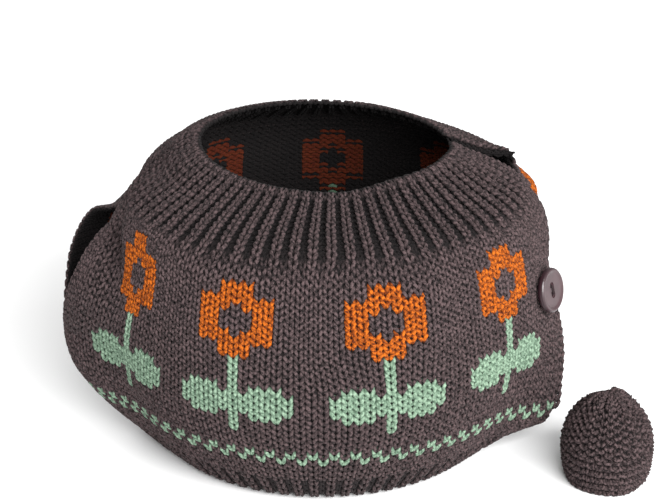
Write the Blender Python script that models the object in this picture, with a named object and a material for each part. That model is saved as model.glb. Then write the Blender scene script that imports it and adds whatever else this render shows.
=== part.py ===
"""A knitted tea cosy for a round teapot, with its button and the little cap for the lid's knob.

The cosy is two knitted panels. They are grafted together above and below the spout's opening, and meet
at the handle, where the front panel's free edge laps over the back panel and one button holds them.
Everything is worked out in stitches and rows: a stitch number says how far round the pot a place is,
counted from the spout, and a row number says how far down it is, counted from the cast-on edge.
Lengths in the tables are millimetres. The pot's own axis is the working origin, +X is the handle's
side and -Y is the front; the last step moves everything so that the box's bottom centre is the origin.
"""

import math
from bisect import bisect_left
from functools import lru_cache

import bmesh
import bpy
from mathutils import Matrix, Vector

MM = 0.001
GAP = 0.3  # between pieces that touch
CLOTH = 3.3  # thickness of the knit
STITCH_TURN = math.radians(2.5)  # one stitch, seen from the pot's axis
STAND = 119.0  # the cast-on plane's height above the surface the cosy stands on

# Rows
NECK_EDGE, HEM_END = 0.0, 50.0
RIB_DEPTH = 1.5
RIB_STITCHES = 2  # one knit stitch and one purl stitch make a rib

# The pot-shaped body: how wide it is at a row, and how far under the cast-on plane
BODY = (
    # row, radius, drop
    (0.0, 47.6, 3.0),
    (3.0, 54.2, 6.6),
    (7.0, 64.2, 11.6),
    (11.0, 73.6, 16.8),
    (15.0, 80.4, 25.6),
    (20.5, 84.2, 38.2),
    (26.0, 85.2, 51.4),
    (31.5, 84.4, 66.6),
    (37.0, 81.4, 82.4),
    (41.0, 77.4, 94.4),
    (43.5, 74.0, 102.2),
    (46.0, 69.4, 110.0),
    (47.6, 65.0, 115.8),
    (48.6, 61.8, 119.2),
    (50.0, 56.4, 121.6),
)
NECK_LIFT = 3.4  # how far the front panel's neck rides up on its way to the handle

# The rim of the spout's opening and the seam above and below it, in the plane of the spout
SPOUT = (
    # row, reach from the pot's axis, half width of the opening, drop, stitches it takes to run out
    (3.0, 53.6, 0.0, 7.6, 16.0),
    (7.0, 62.2, 0.0, 12.6, 16.0),
    (11.0, 70.8, 0.0, 18.6, 13.0),
    (13.0, 74.2, 0.0, 22.8, 9.0),
    (14.5, 76.2, 0.0, 26.0, 5.0),
    (16.3, 78.4, 6.0, 28.2, 4.0),
    (17.7, 80.8, 10.0, 29.4, 5.0),
    (19.0, 83.6, 13.5, 30.6, 6.5),
    (20.2, 86.0, 16.0, 32.6, 7.5),
    (21.5, 88.5, 17.5, 35.4, 8.5),
    (23.8, 92.0, 18.5, 41.4, 9.5),
    (26.5, 95.4, 17.0, 49.4, 10.0),
    (29.0, 97.0, 13.0, 57.0, 10.5),
    (31.5, 98.0, 7.5, 64.4, 11.0),
    (33.5, 98.4, 0.0, 71.5, 11.0),
    (36.0, 97.8, 0.0, 79.5, 11.5),
    (38.5, 95.4, 0.0, 88.0, 12.0),
    (41.0, 90.0, 0.0, 96.5, 12.0),
    (43.5, 83.0, 0.0, 104.5, 12.0),
    (46.0, 75.0, 0.0, 111.4, 12.0),
    (47.6, 69.0, 0.0, 116.6, 12.0),
    (48.6, 65.0, 0.0, 119.4, 12.0),
    (50.0, 59.0, 0.0, 121.6, 12.0),
)
POUCH_TOP = 3.0
POUCH_SOFTNESS = 0.28
KEEL_START, KEEL_END = 27.0, 36.0  # rows over which the pouch's underside turns round

# How the pouch crowds the front panel's stitches beside it, in degrees
CROWD = (
    # row, turn
    (12.0, 0.0),
    (17.0, 4.6),
    (22.0, 4.6),
    (26.0, 3.4),
    (31.0, 1.6),
    (37.0, -1.6),
    (41.0, -2.0),
    (46.0, 0.0),
)

# How the belly spreads the front panel's stitches away from its middle, in degrees
SPREAD = (
    # row, turn
    (15.0, 0.0),
    (22.0, 0.3),
    (28.0, 1.5),
    (32.0, 2.6),
    (37.0, 3.6),
    (41.0, 2.8),
    (45.0, 0.8),
    (47.0, 0.0),
)
FRONT_MIDDLE = 32.5

# The crease that the pouch leaves beside itself in the front panel
CREASE = (
    # row, middle stitch, depth, half its width in stitches
    (12.2, 4.4, 0.0, 3.0),
    (14.0, 4.7, 2.4, 3.2),
    (15.6, 5.1, 3.8, 3.3),
    (17.6, 5.7, 4.2, 3.5),
    (20.0, 6.4, 3.4, 3.7),
    (22.8, 7.0, 1.8, 4.0),
    (26.5, 7.6, 0.0, 4.2),
)

# The hump of the back panel's last flower beside the handle
HUMP_ROW, HUMP_STITCH = 17.0, 67.4
HUMP_ROWS, HUMP_STITCHES = 5.2, 5.0
HUMP_OUT = 4.4

# How the back panel's shoulder is drawn in beside the spout and raised
SHOULDER = (
    # row, in beside the spout, up all along
    (0.0, 0.0, 0.0),
    (3.0, -0.6, 1.4),
    (6.0, 1.0, 1.4),
    (9.0, 2.2, 1.2),
    (12.0, 4.6, 0.6),
    (15.0, 7.4, 0.0),
    (18.0, 3.6, 0.0),
    (22.0, 0.0, 0.0),
)

# The front panel's handle edge: its stitch, and how far it stands off the body
FRONT_EDGE = (
    # row, last stitch, out, down, stitches it takes to run out
    (0.0, 72.0, 0.0, 0.0, 6.0),
    (4.0, 72.0, 0.4, 0.0, 6.0),
    (8.0, 72.0, 0.4, 0.4, 6.0),
    (12.0, 71.6, -1.8, 0.4, 6.0),
    (14.0, 71.2, -1.5, 0.2, 6.0),
    (16.0, 70.6, 0.0, 0.0, 6.0),
    (20.0, 67.5, 0.4, 0.0, 6.0),
    (23.0, 65.2, -0.2, 0.0, 7.0),
    (26.0, 64.3, 1.7, 0.0, 8.5),
    (30.0, 64.0, 5.4, 0.4, 9.0),
    (34.0, 64.0, 9.4, 1.6, 8.5),
    (38.0, 64.0, 12.2, 4.4, 7.5),
    (41.0, 63.6, 14.0, 6.4, 7.0),
    (43.5, 63.0, 13.2, 4.8, 6.5),
    (46.0, 62.4, 11.0, -1.0, 6.0),
    (48.0, 62.0, 9.6, -6.0, 6.0),
    (50.0, 61.6, 9.0, -9.6, 6.0),
)

# The back panel's handle edge, in the same terms; it lies under the front panel's edge
BACK_EDGE = (
    # row, last stitch, out, down, stitches it takes to run out
    (0.0, 68.0, 0.0, 0.0, 4.0),
    (4.0, 68.0, 0.2, 0.6, 4.0),
    (7.5, 68.2, 1.2, 0.6, 4.0),
    (10.3, 68.4, 4.6, -1.4, 3.4),
    (12.2, 68.5, -0.6, 0.0, 4.0),
    (14.0, 69.8, -2.4, 0.0, 4.0),
    (15.5, 72.6, -5.4, 0.0, 5.5),
    (17.5, 76.0, -5.4, 0.0, 8.5),
    (20.0, 78.6, -5.2, 0.0, 10.5),
    (23.0, 81.6, -4.8, 0.0, 13.0),
    (26.0, 82.8, -4.0, 0.0, 13.0),
    (29.0, 81.6, -3.0, 0.0, 11.0),
    (32.0, 77.4, -2.0, 0.0, 7.0),
    (35.0, 74.9, 0.0, 0.0, 6.0),
    (40.0, 74.0, 0.0, 0.0, 6.0),
    (50.0, 74.0, 0.0, 0.0, 6.0),
)


@lru_cache(maxsize=None)
def read(table, column, row):
    """A column of a table at any row, on a smooth curve through its points."""
    rows = [line[0] for line in table]
    values = [line[column] for line in table]
    at = min(max(row, rows[0]), rows[-1])
    i = min(max(bisect_left(rows, at) - 1, 0), len(rows) - 2)
    span = rows[i + 1] - rows[i]
    t = (at - rows[i]) / span

    def steepness(k):
        before, after = max(k - 1, 0), min(k + 1, len(rows) - 1)
        return (values[after] - values[before]) / (rows[after] - rows[before])

    start = (1 + 2 * t) * (1 - t) ** 2 * values[i] + t * (1 - t) ** 2 * span * steepness(i)
    end = t * t * (3 - 2 * t) * values[i + 1] - t * t * (1 - t) * span * steepness(i + 1)
    return start + end


def ease(t):
    t = min(max(t, 0.0), 1.0)
    return t * t * (3 - 2 * t)


def run_out(t, softness):
    """1 at t = 0, falling in a nearly straight line to 0 at t = 1, with a soft corner there."""
    ramp = 0.5 * ((1 - t) + math.sqrt((1 - t) ** 2 + softness**2))
    full = 0.5 * (1 + math.sqrt(1 + softness**2))
    return ramp / full


def turn_of(side, stitch, row):
    """How far round the pot a stitch is from the spout."""
    turn = stitch * STITCH_TURN
    if side < 0:
        beside = ease((stitch - 3) / 8) * (1 - ease((stitch - 11.5) / 13))
        turn += math.radians(read(CROWD, 1, row)) * beside
        off = stitch - FRONT_MIDDLE
        apart = off / math.hypot(off, 8) * (1 - ease((abs(off) - 20) / 11))
        turn += math.radians(read(SPREAD, 1, row)) * apart
    return turn


def body_place(side, stitch, row):
    """A place on the plain body. side is -1 for the front panel and 1 for the back one."""
    turn = turn_of(side, stitch, row)
    radius, drop = read(BODY, 1, row), read(BODY, 2, row)
    if side > 0:
        radius -= read(SHOULDER, 1, row) * ease(stitch / 5) * (1 - ease((stitch - 12) / 16))
        drop -= read(SHOULDER, 2, row) * ease(stitch / 5) * (1 - ease((stitch - 44) / 14))
    neck = 1 - ease(row / 9)
    forward = max(-side * math.sin(turn), 0.0)
    drop += neck * (2.4 * forward - 1.6 * math.cos(turn))
    if side < 0:
        drop -= neck * NECK_LIFT * ease((stitch - 35) / 13) * (1 - ease((stitch - 60) / 13))
    across = -radius * math.cos(turn) + neck * 0.9
    return Vector((across, side * radius * math.sin(turn), STAND - drop))


def spout_place(side, row):
    """The panel's own spout edge: the opening's rim, or the grafted seam."""
    half = max(read(SPOUT, 2, row), GAP / 2)
    return Vector((-read(SPOUT, 1, row), side * half, STAND - read(SPOUT, 3, row)))


def edge_push(table, side, stitch, row):
    """How far a panel's handle edge is lifted off the body, or tucked under."""
    share = run_out((read(table, 1, row) - stitch) / read(table, 4, row), 0.3)
    turn = turn_of(side, stitch, row)
    out = share * read(table, 2, row)
    down = share * read(table, 3, row)
    return Vector((-out * math.cos(turn), side * out * math.sin(turn), -down))


def crease_push(side, stitch, row):
    """How far the crease sinks the front panel towards the pot's axis."""
    off = abs(stitch - read(CREASE, 1, row)) / read(CREASE, 3, row)
    depth = read(CREASE, 2, row) * (1 - ease(off))
    turn = turn_of(side, stitch, row)
    return Vector((depth * math.cos(turn), -side * depth * math.sin(turn), 0.0))


def hump_push(side, stitch, row):
    """How far the hump lifts the back panel off the body."""
    near = (1 - ease(abs(row - HUMP_ROW) / HUMP_ROWS)) * (1 - ease(abs(stitch - HUMP_STITCH) / HUMP_STITCHES))
    turn = turn_of(side, stitch, row)
    out = HUMP_OUT * near
    return Vector((-out * math.cos(turn), side * out * math.sin(turn), 0.0))


def clear_of_seam(side, place):
    """Keeps the two panels apart where they are grafted together at the spout."""
    if place.x < 0:
        place.y = side * max(side * place.y, GAP / 2)
    return place


def cloth_place(side, stitch, row):
    """A place on a panel's right side, before its ribs."""
    place = body_place(side, stitch, row)
    if row > POUCH_TOP:
        pull = spout_place(side, row) - body_place(side, 0.0, row)
        away = stitch / read(SPOUT, 4, row)
        keel = ease((row - KEEL_START) / (KEEL_END - KEEL_START))
        share = (1 - keel) * run_out(away, POUCH_SOFTNESS) + keel * ease(1 - away)
        place += pull * share * ease((row - POUCH_TOP) / 3)
    place += edge_push(FRONT_EDGE if side < 0 else BACK_EDGE, side, stitch, row)
    place += crease_push(side, stitch, row) if side < 0 else hump_push(side, stitch, row)
    place.z = max(place.z, 0.0)
    return clear_of_seam(side, place)


def last_stitch(side, row):
    return read(FRONT_EDGE if side < 0 else BACK_EDGE, 1, row)


def cloth_normal(side, stitch, row):
    """The way a panel's right side faces."""
    last = last_stitch(side, row)
    before, after = max(stitch - 0.3, 0.0), min(stitch + 0.3, last)
    above, below = max(row - 0.3, NECK_EDGE), min(row + 0.3, HEM_END)
    across = cloth_place(side, after, row) - cloth_place(side, before, row)
    down = cloth_place(side, stitch, below) - cloth_place(side, stitch, above)
    return (across.cross(down) * side).normalized()


def right_face(side, stitch, row, sunk):
    return cloth_place(side, stitch, row) - cloth_normal(side, stitch, row) * sunk


def wrong_face(side, stitch, row):
    place = right_face(side, stitch, row, CLOTH)
    place.z = max(place.z, CLOTH / 2)
    return clear_of_seam(side, place)


# Panels

# One rib, as shares of its two stitches: the crest's two sides, then the furrow's
RIB_SHAPE = ((0.08, 0.0), (0.46, 0.0), (0.62, 1.0), (0.90, 1.0))
RIBBED_ROWS = ((0.0, 0.35), (1.2, 1.0), (4.0, 1.0), (7.5, 1.0), (10.3, 0.8))
PLAIN_ROWS = (11.6, 13.6, 15.4, 17.2, 19.2, 21.6, 24.2, 27.0, 29.8, 32.4, 35.0, 38.0, 41.0, 43.4)
HEM_RIB_ROWS = ((45.2, 0.8), (46.9, 0.8))
HEM_FLAT_ROWS = (48.6, 50.0)
LINING_ROWS = (0.0, 3.5, 7.5, 11.5, 14.2, 16.8, 20.0, 24.0, 28.0, 32.0, 36.0, 40.0, 43.5, 46.2, 48.6, 50.0)
LINING_STITCHES = 2.6


class Shell:
    """Gathers a closed mesh from rows of points."""

    def __init__(self):
        self.points = []
        self.faces = []

    def row(self, points):
        start = len(self.points)
        self.points.extend(points)
        return list(range(start, len(self.points)))

    def loop(self, points):
        ids = self.row(points)
        return ids + ids[:1]

    def zip(self, one, one_at, two, two_at):
        """Fills between two rows whose points lie at different places along them."""
        i = j = 0
        while i < len(one) - 1 or j < len(two) - 1:
            if j == len(two) - 1 or (i < len(one) - 1 and one_at[i + 1] <= two_at[j + 1]):
                self.faces.append((one[i], one[i + 1], two[j]))
                i += 1
            else:
                self.faces.append((one[i], two[j + 1], two[j]))
                j += 1

    def cap(self, ring, middle):
        """Closes a ring whose last point repeats its first."""
        hub = self.row([middle])[0]
        self.faces.extend((one, two, hub) for one, two in zip(ring, ring[1:]))

    def mesh(self, name):
        mesh = bpy.data.meshes.new(name)
        mesh.from_pydata([tuple(point * MM) for point in self.points], [], self.faces)
        work = bmesh.new()
        work.from_mesh(mesh)
        bmesh.ops.recalc_face_normals(work, faces=work.faces)
        work.to_mesh(mesh)
        work.free()
        return mesh


def ribbed_row(side, row, depth):
    """Where a ribbed row's points lie, as stitches, and how deep each is sunk."""
    last = last_stitch(side, row)
    spots = [(0.0, 0.0)]
    for rib in range(int(last // RIB_STITCHES)):
        spots += [(RIB_STITCHES * (rib + at), depth * RIB_DEPTH * sunk) for at, sunk in RIB_SHAPE]
    spots.append((last, depth * RIB_DEPTH * 0.5))
    return spots


def even_row(side, row, spacing):
    last = last_stitch(side, row)
    count = max(int(round(last / spacing)), 1)
    return [(last * i / count, 0.0) for i in range(count + 1)]


def panel_mesh(name, side):
    """One knitted panel: its right side, its wrong side, and the edges that join them."""
    right = [(row, ribbed_row(side, row, depth)) for row, depth in RIBBED_ROWS]
    right += [(row, even_row(side, row, 1.0)) for row in PLAIN_ROWS]
    right += [(row, ribbed_row(side, row, depth)) for row, depth in HEM_RIB_ROWS]
    right += [(row, even_row(side, row, 1.0)) for row in HEM_FLAT_ROWS]
    wrong = [(row, even_row(side, row, LINING_STITCHES)) for row in LINING_ROWS]
    shell = Shell()

    def lay(rows, place):
        laid = []
        for row, spots in rows:
            ids = shell.row([place(row, stitch, sunk) for stitch, sunk in spots])
            laid.append((row, ids, [stitch / spots[-1][0] for stitch, _ in spots]))
        for (_, one, one_at), (_, two, two_at) in zip(laid, laid[1:]):
            shell.zip(one, one_at, two, two_at)
        return laid

    outer = lay(right, lambda row, stitch, sunk: right_face(side, stitch, row, sunk))
    inner = lay(wrong, lambda row, stitch, sunk: wrong_face(side, stitch, row))
    for end in (0, -1):
        shell.zip(outer[end][1], outer[end][2], inner[end][1], inner[end][2])
        shell.zip(
            [ids[end] for _, ids, _ in outer],
            [row for row, _, _ in outer],
            [ids[end] for _, ids, _ in inner],
            [row for row, _, _ in inner],
        )
    return shell.mesh(name)


# Button

BUTTON_STITCH, BUTTON_ROW = 61.0, 25.4
BUTTON_RADIUS, BUTTON_THICK = 8.2, 2.6
BUTTON_TILT, BUTTON_LIFT = math.radians(9.0), 1.0  # its handle side hangs away from the cloth
RIM_WIDTH, DISH_DEPTH = 1.5, 0.5
HOLE_RADIUS, HOLE_SPACING = 0.9, 3.4
SLOT_DEPTH, SLOT_MARGIN = 0.5, 0.45
BUTTON_SIDES = 40
THREAD_RADIUS = 0.42


def button_frame():
    """The button's own axes: its face looks along Z and its holes lie along Y."""
    centre = cloth_place(-1, BUTTON_STITCH, BUTTON_ROW)
    face = cloth_normal(-1, BUTTON_STITCH, BUTTON_ROW)
    up = cloth_place(-1, BUTTON_STITCH, BUTTON_ROW - 1) - cloth_place(-1, BUTTON_STITCH, BUTTON_ROW + 1)
    across = up.cross(face).normalized()
    up = face.cross(across)
    turned = Matrix((across, up, face)).transposed().to_4x4()
    tilted = turned @ Matrix.Rotation(-BUTTON_TILT, 4, "Y")
    return Matrix.Translation((centre + face * (GAP + BUTTON_LIFT)) * MM) @ tilted


def turned_mesh(name, profile, sides):
    """A solid turned round Z from a profile of radii and heights, from the bottom middle to the top."""
    work = bmesh.new()
    rings = []
    for radius, height in profile:
        if radius == 0:
            rings.append([work.verts.new((0, 0, height * MM))])
            continue
        ring = []
        for k in range(sides):
            turn = 2 * math.pi * k / sides
            across, up = radius * math.cos(turn), radius * math.sin(turn)
            ring.append(work.verts.new((across * MM, up * MM, height * MM)))
        rings.append(ring)
    for low, high in zip(rings, rings[1:]):
        for k in range(sides):
            after = (k + 1) % sides
            corners = [low[k % len(low)], low[after % len(low)], high[after % len(high)], high[k % len(high)]]
            work.faces.new(list(dict.fromkeys(corners)))
    bmesh.ops.recalc_face_normals(work, faces=work.faces)
    mesh = bpy.data.meshes.new(name)
    work.to_mesh(mesh)
    work.free()
    return mesh


def applied(thing):
    """The object's mesh with its modifiers applied."""
    bpy.context.view_layer.update()
    return bpy.data.meshes.new_from_object(thing.evaluated_get(bpy.context.evaluated_depsgraph_get()))


def cut(mesh, cutter_mesh):
    """Takes one solid out of another."""
    body = bpy.data.objects.new("body", mesh)
    cutter = bpy.data.objects.new("cutter", cutter_mesh)
    for thing in (body, cutter):
        bpy.context.scene.collection.objects.link(thing)
    step = body.modifiers.new("cut", "BOOLEAN")
    step.operation = "DIFFERENCE"
    step.solver = "EXACT"
    step.object = cutter
    left = applied(body)
    work = bmesh.new()
    work.from_mesh(left)
    bmesh.ops.remove_doubles(work, verts=work.verts, dist=0.01 * MM)
    bmesh.ops.dissolve_degenerate(work, edges=work.edges, dist=0.01 * MM)
    work.to_mesh(left)
    work.free()
    for thing in (body, cutter):
        bpy.data.objects.remove(thing)
    return left


def slot_mesh(name, half_width, half_length, low, high):
    """An upright bar with round ends, its length along Y."""
    outline = []
    for k in range(9):
        turn = math.pi * k / 8
        outline.append((half_width * math.cos(turn), half_length - half_width + half_width * math.sin(turn)))
    outline += [(-x, -y) for x, y in outline]
    work = bmesh.new()
    bottom = [work.verts.new((x * MM, y * MM, low * MM)) for x, y in outline]
    top = [work.verts.new((x * MM, y * MM, high * MM)) for x, y in outline]
    work.faces.new(list(reversed(bottom)))
    work.faces.new(top)
    for k in range(len(outline)):
        after = (k + 1) % len(outline)
        work.faces.new((bottom[k], bottom[after], top[after], top[k]))
    bmesh.ops.recalc_face_normals(work, faces=work.faces)
    mesh = bpy.data.meshes.new(name)
    work.to_mesh(mesh)
    work.free()
    return mesh


def button_mesh():
    """A disc with a rolled rim, a dished face, and a slot across it that holds two holes."""
    rim, dish = BUTTON_RADIUS - RIM_WIDTH, BUTTON_THICK - DISH_DEPTH
    profile = (
        (0, 0.0),
        (BUTTON_RADIUS - 0.9, 0.0),
        (BUTTON_RADIUS - 0.2, 0.5),
        (BUTTON_RADIUS, 1.2),
        (BUTTON_RADIUS - 0.15, BUTTON_THICK - 0.5),
        (BUTTON_RADIUS - 0.6, BUTTON_THICK - 0.06),
        (BUTTON_RADIUS - 1.0, BUTTON_THICK),
        (rim, BUTTON_THICK - 0.2),
        (rim - 0.5, dish + 0.05),
        (rim - 1.2, dish),
        (0, dish),
    )
    mesh = turned_mesh("button", profile, BUTTON_SIDES)
    wide = HOLE_RADIUS + SLOT_MARGIN
    mesh = cut(mesh, slot_mesh("slot", wide, HOLE_SPACING / 2 + wide, dish - SLOT_DEPTH, BUTTON_THICK + 1))
    for end in (-1, 1):
        hole = turned_mesh("hole", ((0, -1.0), (HOLE_RADIUS, -1.0), (HOLE_RADIUS, 4.0), (0, 4.0)), 16)
        hole.transform(Matrix.Translation((0, end * HOLE_SPACING / 2 * MM, 0)))
        mesh = cut(mesh, hole)
    return mesh


def thread_mesh():
    """The thread: up one hole, over the slot's floor and down the other, lying in the plane X = 0."""
    reach = HOLE_SPACING / 2
    bend = 0.9
    top = BUTTON_THICK - DISH_DEPTH - SLOT_DEPTH + GAP + THREAD_RADIUS
    path = [(-reach, -BUTTON_LIFT, 1.0, 0.0)]
    for k in range(5):
        turn = math.pi / 2 * k / 4
        side, rise = math.sin(turn), math.cos(turn)
        path.append((-reach + bend * (1 - rise), top - bend * (1 - side), rise, side))
    path += [(-y, z, -up, along) for y, z, up, along in reversed(path)]
    shell = Shell()
    rings = []
    sides = 8
    for y, z, up, along in path:
        ring = []
        for k in range(sides):
            turn = 2 * math.pi * k / sides
            out = THREAD_RADIUS * math.sin(turn)
            ring.append(Vector((THREAD_RADIUS * math.cos(turn), y - out * up, z + out * along)))
        rings.append(shell.row(ring))
    for one, two in zip(rings, rings[1:]):
        for k in range(sides):
            after = (k + 1) % sides
            shell.faces.append((one[k], one[after], two[after], two[k]))
    shell.faces += [tuple(rings[0]), tuple(rings[-1])]
    return shell.mesh("button_thread")


# Knob cover

COVER_PLACE = (98.7, -55.6)
COVER_WALL = 3.0
COVER_PROFILE = (
    # height, radius, how far the gathers draw it in
    (0.0, 15.2, 0.0),
    (4.0, 16.4, 0.0),
    (10.0, 17.1, 0.0),
    (16.0, 17.2, 0.0),
    (22.0, 16.0, 0.15),
    (27.0, 13.4, 0.5),
    (31.0, 9.9, 0.9),
    (34.0, 6.2, 1.1),
    (35.6, 3.0, 0.8),
)
COVER_CROWN = 34.6
COVER_GATHERS = 9
COVER_RIDGES = (2.0, 6.2, 10.2, 14.0, 17.8)  # heights of the garter ridges
COVER_RIDGE, COVER_RIDGE_HALF = 0.55, 1.2  # how far a ridge stands out, and half its width
COVER_ROWS = (0.0, 2.0, 4.1, 6.2, 8.2, 10.2, 12.1, 14.0, 15.9, 17.8, 20.0, 22.6, 25.2, 27.8, 30.2, 32.2)
COVER_ROWS += (34.0, 35.6)
COVER_LINING_ROWS = (0.0, 6.0, 12.0, 18.0, 23.0, 27.0, 30.0)
COVER_COLUMNS, COVER_LINING_COLUMNS = 45, 18


def cover_radius(turn, height):
    radius = read(COVER_PROFILE, 1, height)
    radius -= read(COVER_PROFILE, 2, height) * (0.5 + 0.5 * math.cos(COVER_GATHERS * turn))
    radius += 0.35 * math.sin(3 * turn + 0.6) + 0.3 * math.sin(5 * turn + 2.0) * (1 - ease(height / 20))
    return radius


def cover_mesh():
    """The knitted cap for the lid's knob: a hollow dome with garter ridges and a gathered crown."""
    shell = Shell()
    outer, inner = [], []
    for height in COVER_ROWS:
        ridge = max(0.0, 1 - min(abs(height - at) for at in COVER_RIDGES) / COVER_RIDGE_HALF)
        ring = []
        for k in range(COVER_COLUMNS):
            turn = 2 * math.pi * k / COVER_COLUMNS
            radius = cover_radius(turn, height) + COVER_RIDGE * ridge
            ring.append(Vector((radius * math.cos(turn), radius * math.sin(turn), height)))
        outer.append(shell.loop(ring))
    for height in COVER_LINING_ROWS:
        ring = []
        for k in range(COVER_LINING_COLUMNS):
            turn = 2 * math.pi * k / COVER_LINING_COLUMNS
            radius = read(COVER_PROFILE, 1, height * 1.1) - COVER_WALL
            ring.append(Vector((radius * math.cos(turn), radius * math.sin(turn), height)))
        inner.append(shell.loop(ring))
    around = [k / COVER_COLUMNS for k in range(COVER_COLUMNS + 1)]
    lining = [k / COVER_LINING_COLUMNS for k in range(COVER_LINING_COLUMNS + 1)]
    for one, two in zip(outer, outer[1:]):
        shell.zip(one, around, two, around)
    for one, two in zip(inner, inner[1:]):
        shell.zip(one, lining, two, lining)
    shell.zip(outer[0], around, inner[0], lining)
    shell.cap(outer[-1], Vector((0, 0, COVER_CROWN)))
    shell.cap(inner[-1], Vector((0, 0, COVER_LINING_ROWS[-1] + 1)))
    return shell.mesh("knob_cover")


# Materials and pieces


def material(name, colour, roughness):
    made = bpy.data.materials.new(name)
    made.use_nodes = True
    surface = made.node_tree.nodes["Principled BSDF"]
    surface.inputs["Base Color"].default_value = (*colour, 1)
    surface.inputs["Roughness"].default_value = roughness
    return made


def piece(name, mesh, made_of, place=Matrix()):
    mesh.transform(place)
    mesh.name = name
    mesh.materials.clear()
    mesh.materials.append(made_of)
    made = bpy.data.objects.new(name, mesh)
    bpy.context.scene.collection.objects.link(made)
    return made


for thing in list(bpy.data.objects):
    bpy.data.objects.remove(thing)

wool = material("charcoal_wool", (0.088, 0.066, 0.070), 0.92)
button_plastic = material("button_plastic", (0.105, 0.055, 0.062), 0.38)
sewing_thread = material("sewing_thread", (0.060, 0.040, 0.044), 0.8)

button_at = button_frame()
cover_at = Matrix.Translation((COVER_PLACE[0] * MM, COVER_PLACE[1] * MM, 0))
pieces = [
    piece("front_panel", panel_mesh("front_panel", -1), wool),
    piece("back_panel", panel_mesh("back_panel", 1), wool),
    piece("button", button_mesh(), button_plastic, button_at),
    piece("button_thread", thread_mesh(), sewing_thread, button_at),
    piece("knob_cover", cover_mesh(), wool, cover_at),
]

corners = [corner.co for made in pieces for corner in made.data.vertices]
low = [min(corner[axis] for corner in corners) for axis in range(3)]
high = [max(corner[axis] for corner in corners) for axis in range(3)]
to_origin = Matrix.Translation((-(low[0] + high[0]) / 2, -(low[1] + high[1]) / 2, -low[2]))
for made in pieces:
    made.data.transform(to_origin)
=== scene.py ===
"""The looks of a knitted tea cosy: every stitch of its panels and of the lid knob's cap, its button
and the button's thread.

Each panel is described by a map of its cloth, which says where in space a stitch and row lie, and
by a chart, which says which yarn every stitch is knitted in. One Geometry Nodes tree knits a chart
onto a map: it draws each run of stitches as one looping yarn, lays that on the cloth and gives it
its thickness. A stitch number says how far round the pot a place is, counted from the spout, and a
row number says how far down it is, counted from the cast-on edge. Lengths are millimetres. Radii
are measured from the pot's axis, and drops from the cast-on plane. A window of stitches or rows is
its start, rise, end and fall.
"""

import math
from bisect import bisect_left
from functools import lru_cache

import bpy
import numpy as np
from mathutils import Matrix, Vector


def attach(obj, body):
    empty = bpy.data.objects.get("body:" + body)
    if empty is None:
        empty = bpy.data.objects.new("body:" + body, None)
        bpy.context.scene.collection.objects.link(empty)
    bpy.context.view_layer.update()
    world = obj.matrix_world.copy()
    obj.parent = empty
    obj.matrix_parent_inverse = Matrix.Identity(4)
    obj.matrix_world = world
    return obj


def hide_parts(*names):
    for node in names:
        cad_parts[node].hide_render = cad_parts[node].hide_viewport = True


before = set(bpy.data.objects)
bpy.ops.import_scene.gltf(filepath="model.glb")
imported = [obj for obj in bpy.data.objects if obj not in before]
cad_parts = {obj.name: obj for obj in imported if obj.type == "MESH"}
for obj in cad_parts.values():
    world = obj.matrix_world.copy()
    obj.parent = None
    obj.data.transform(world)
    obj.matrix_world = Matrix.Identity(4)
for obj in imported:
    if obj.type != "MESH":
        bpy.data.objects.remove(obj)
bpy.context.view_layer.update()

MM = 0.001
POT_AXIS = Vector((-9.2553, 0.0240, 0.0))  # where it stands in the part's frame
CLOTH = 3.3  # the knit's thickness
GAP = 0.3  # between the two panels
STITCH_TURN = math.radians(2.5)  # how far one stitch goes round the pot
STAND = 119.0  # the cast-on plane's height
ROWS = 50
FRONT, BACK = -1, 1

# The pot-shaped body
BODY = (
    # row, radius, drop
    (0.0, 47.6, 3.0),
    (3.0, 54.2, 6.6),
    (7.0, 64.2, 11.6),
    (11.0, 73.6, 16.8),
    (15.0, 80.4, 25.6),
    (20.5, 84.2, 38.2),
    (26.0, 85.2, 51.4),
    (31.5, 84.4, 66.6),
    (37.0, 81.4, 82.4),
    (41.0, 77.4, 94.4),
    (43.5, 74.0, 102.2),
    (46.0, 69.4, 110.0),
    (47.6, 65.0, 115.8),
    (48.6, 61.8, 119.2),
    (50.0, 56.4, 121.6),
)
NECK_ROWS = 9.0  # the rows that the neck's own shape runs out over
NECK_DIP = 2.4  # how far the neck dips at the front
NECK_TILT = 1.6  # how far it rises at the spout and falls at the handle
NECK_SHIFT = 0.9  # how far it lies towards the handle
NECK_LIFT = 3.4  # how far the front panel's neck rides up on its way to the handle
NECK_LIFTED = (35.0, 13.0, 60.0, 13.0)  # the window of stitches that it does so in

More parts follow.
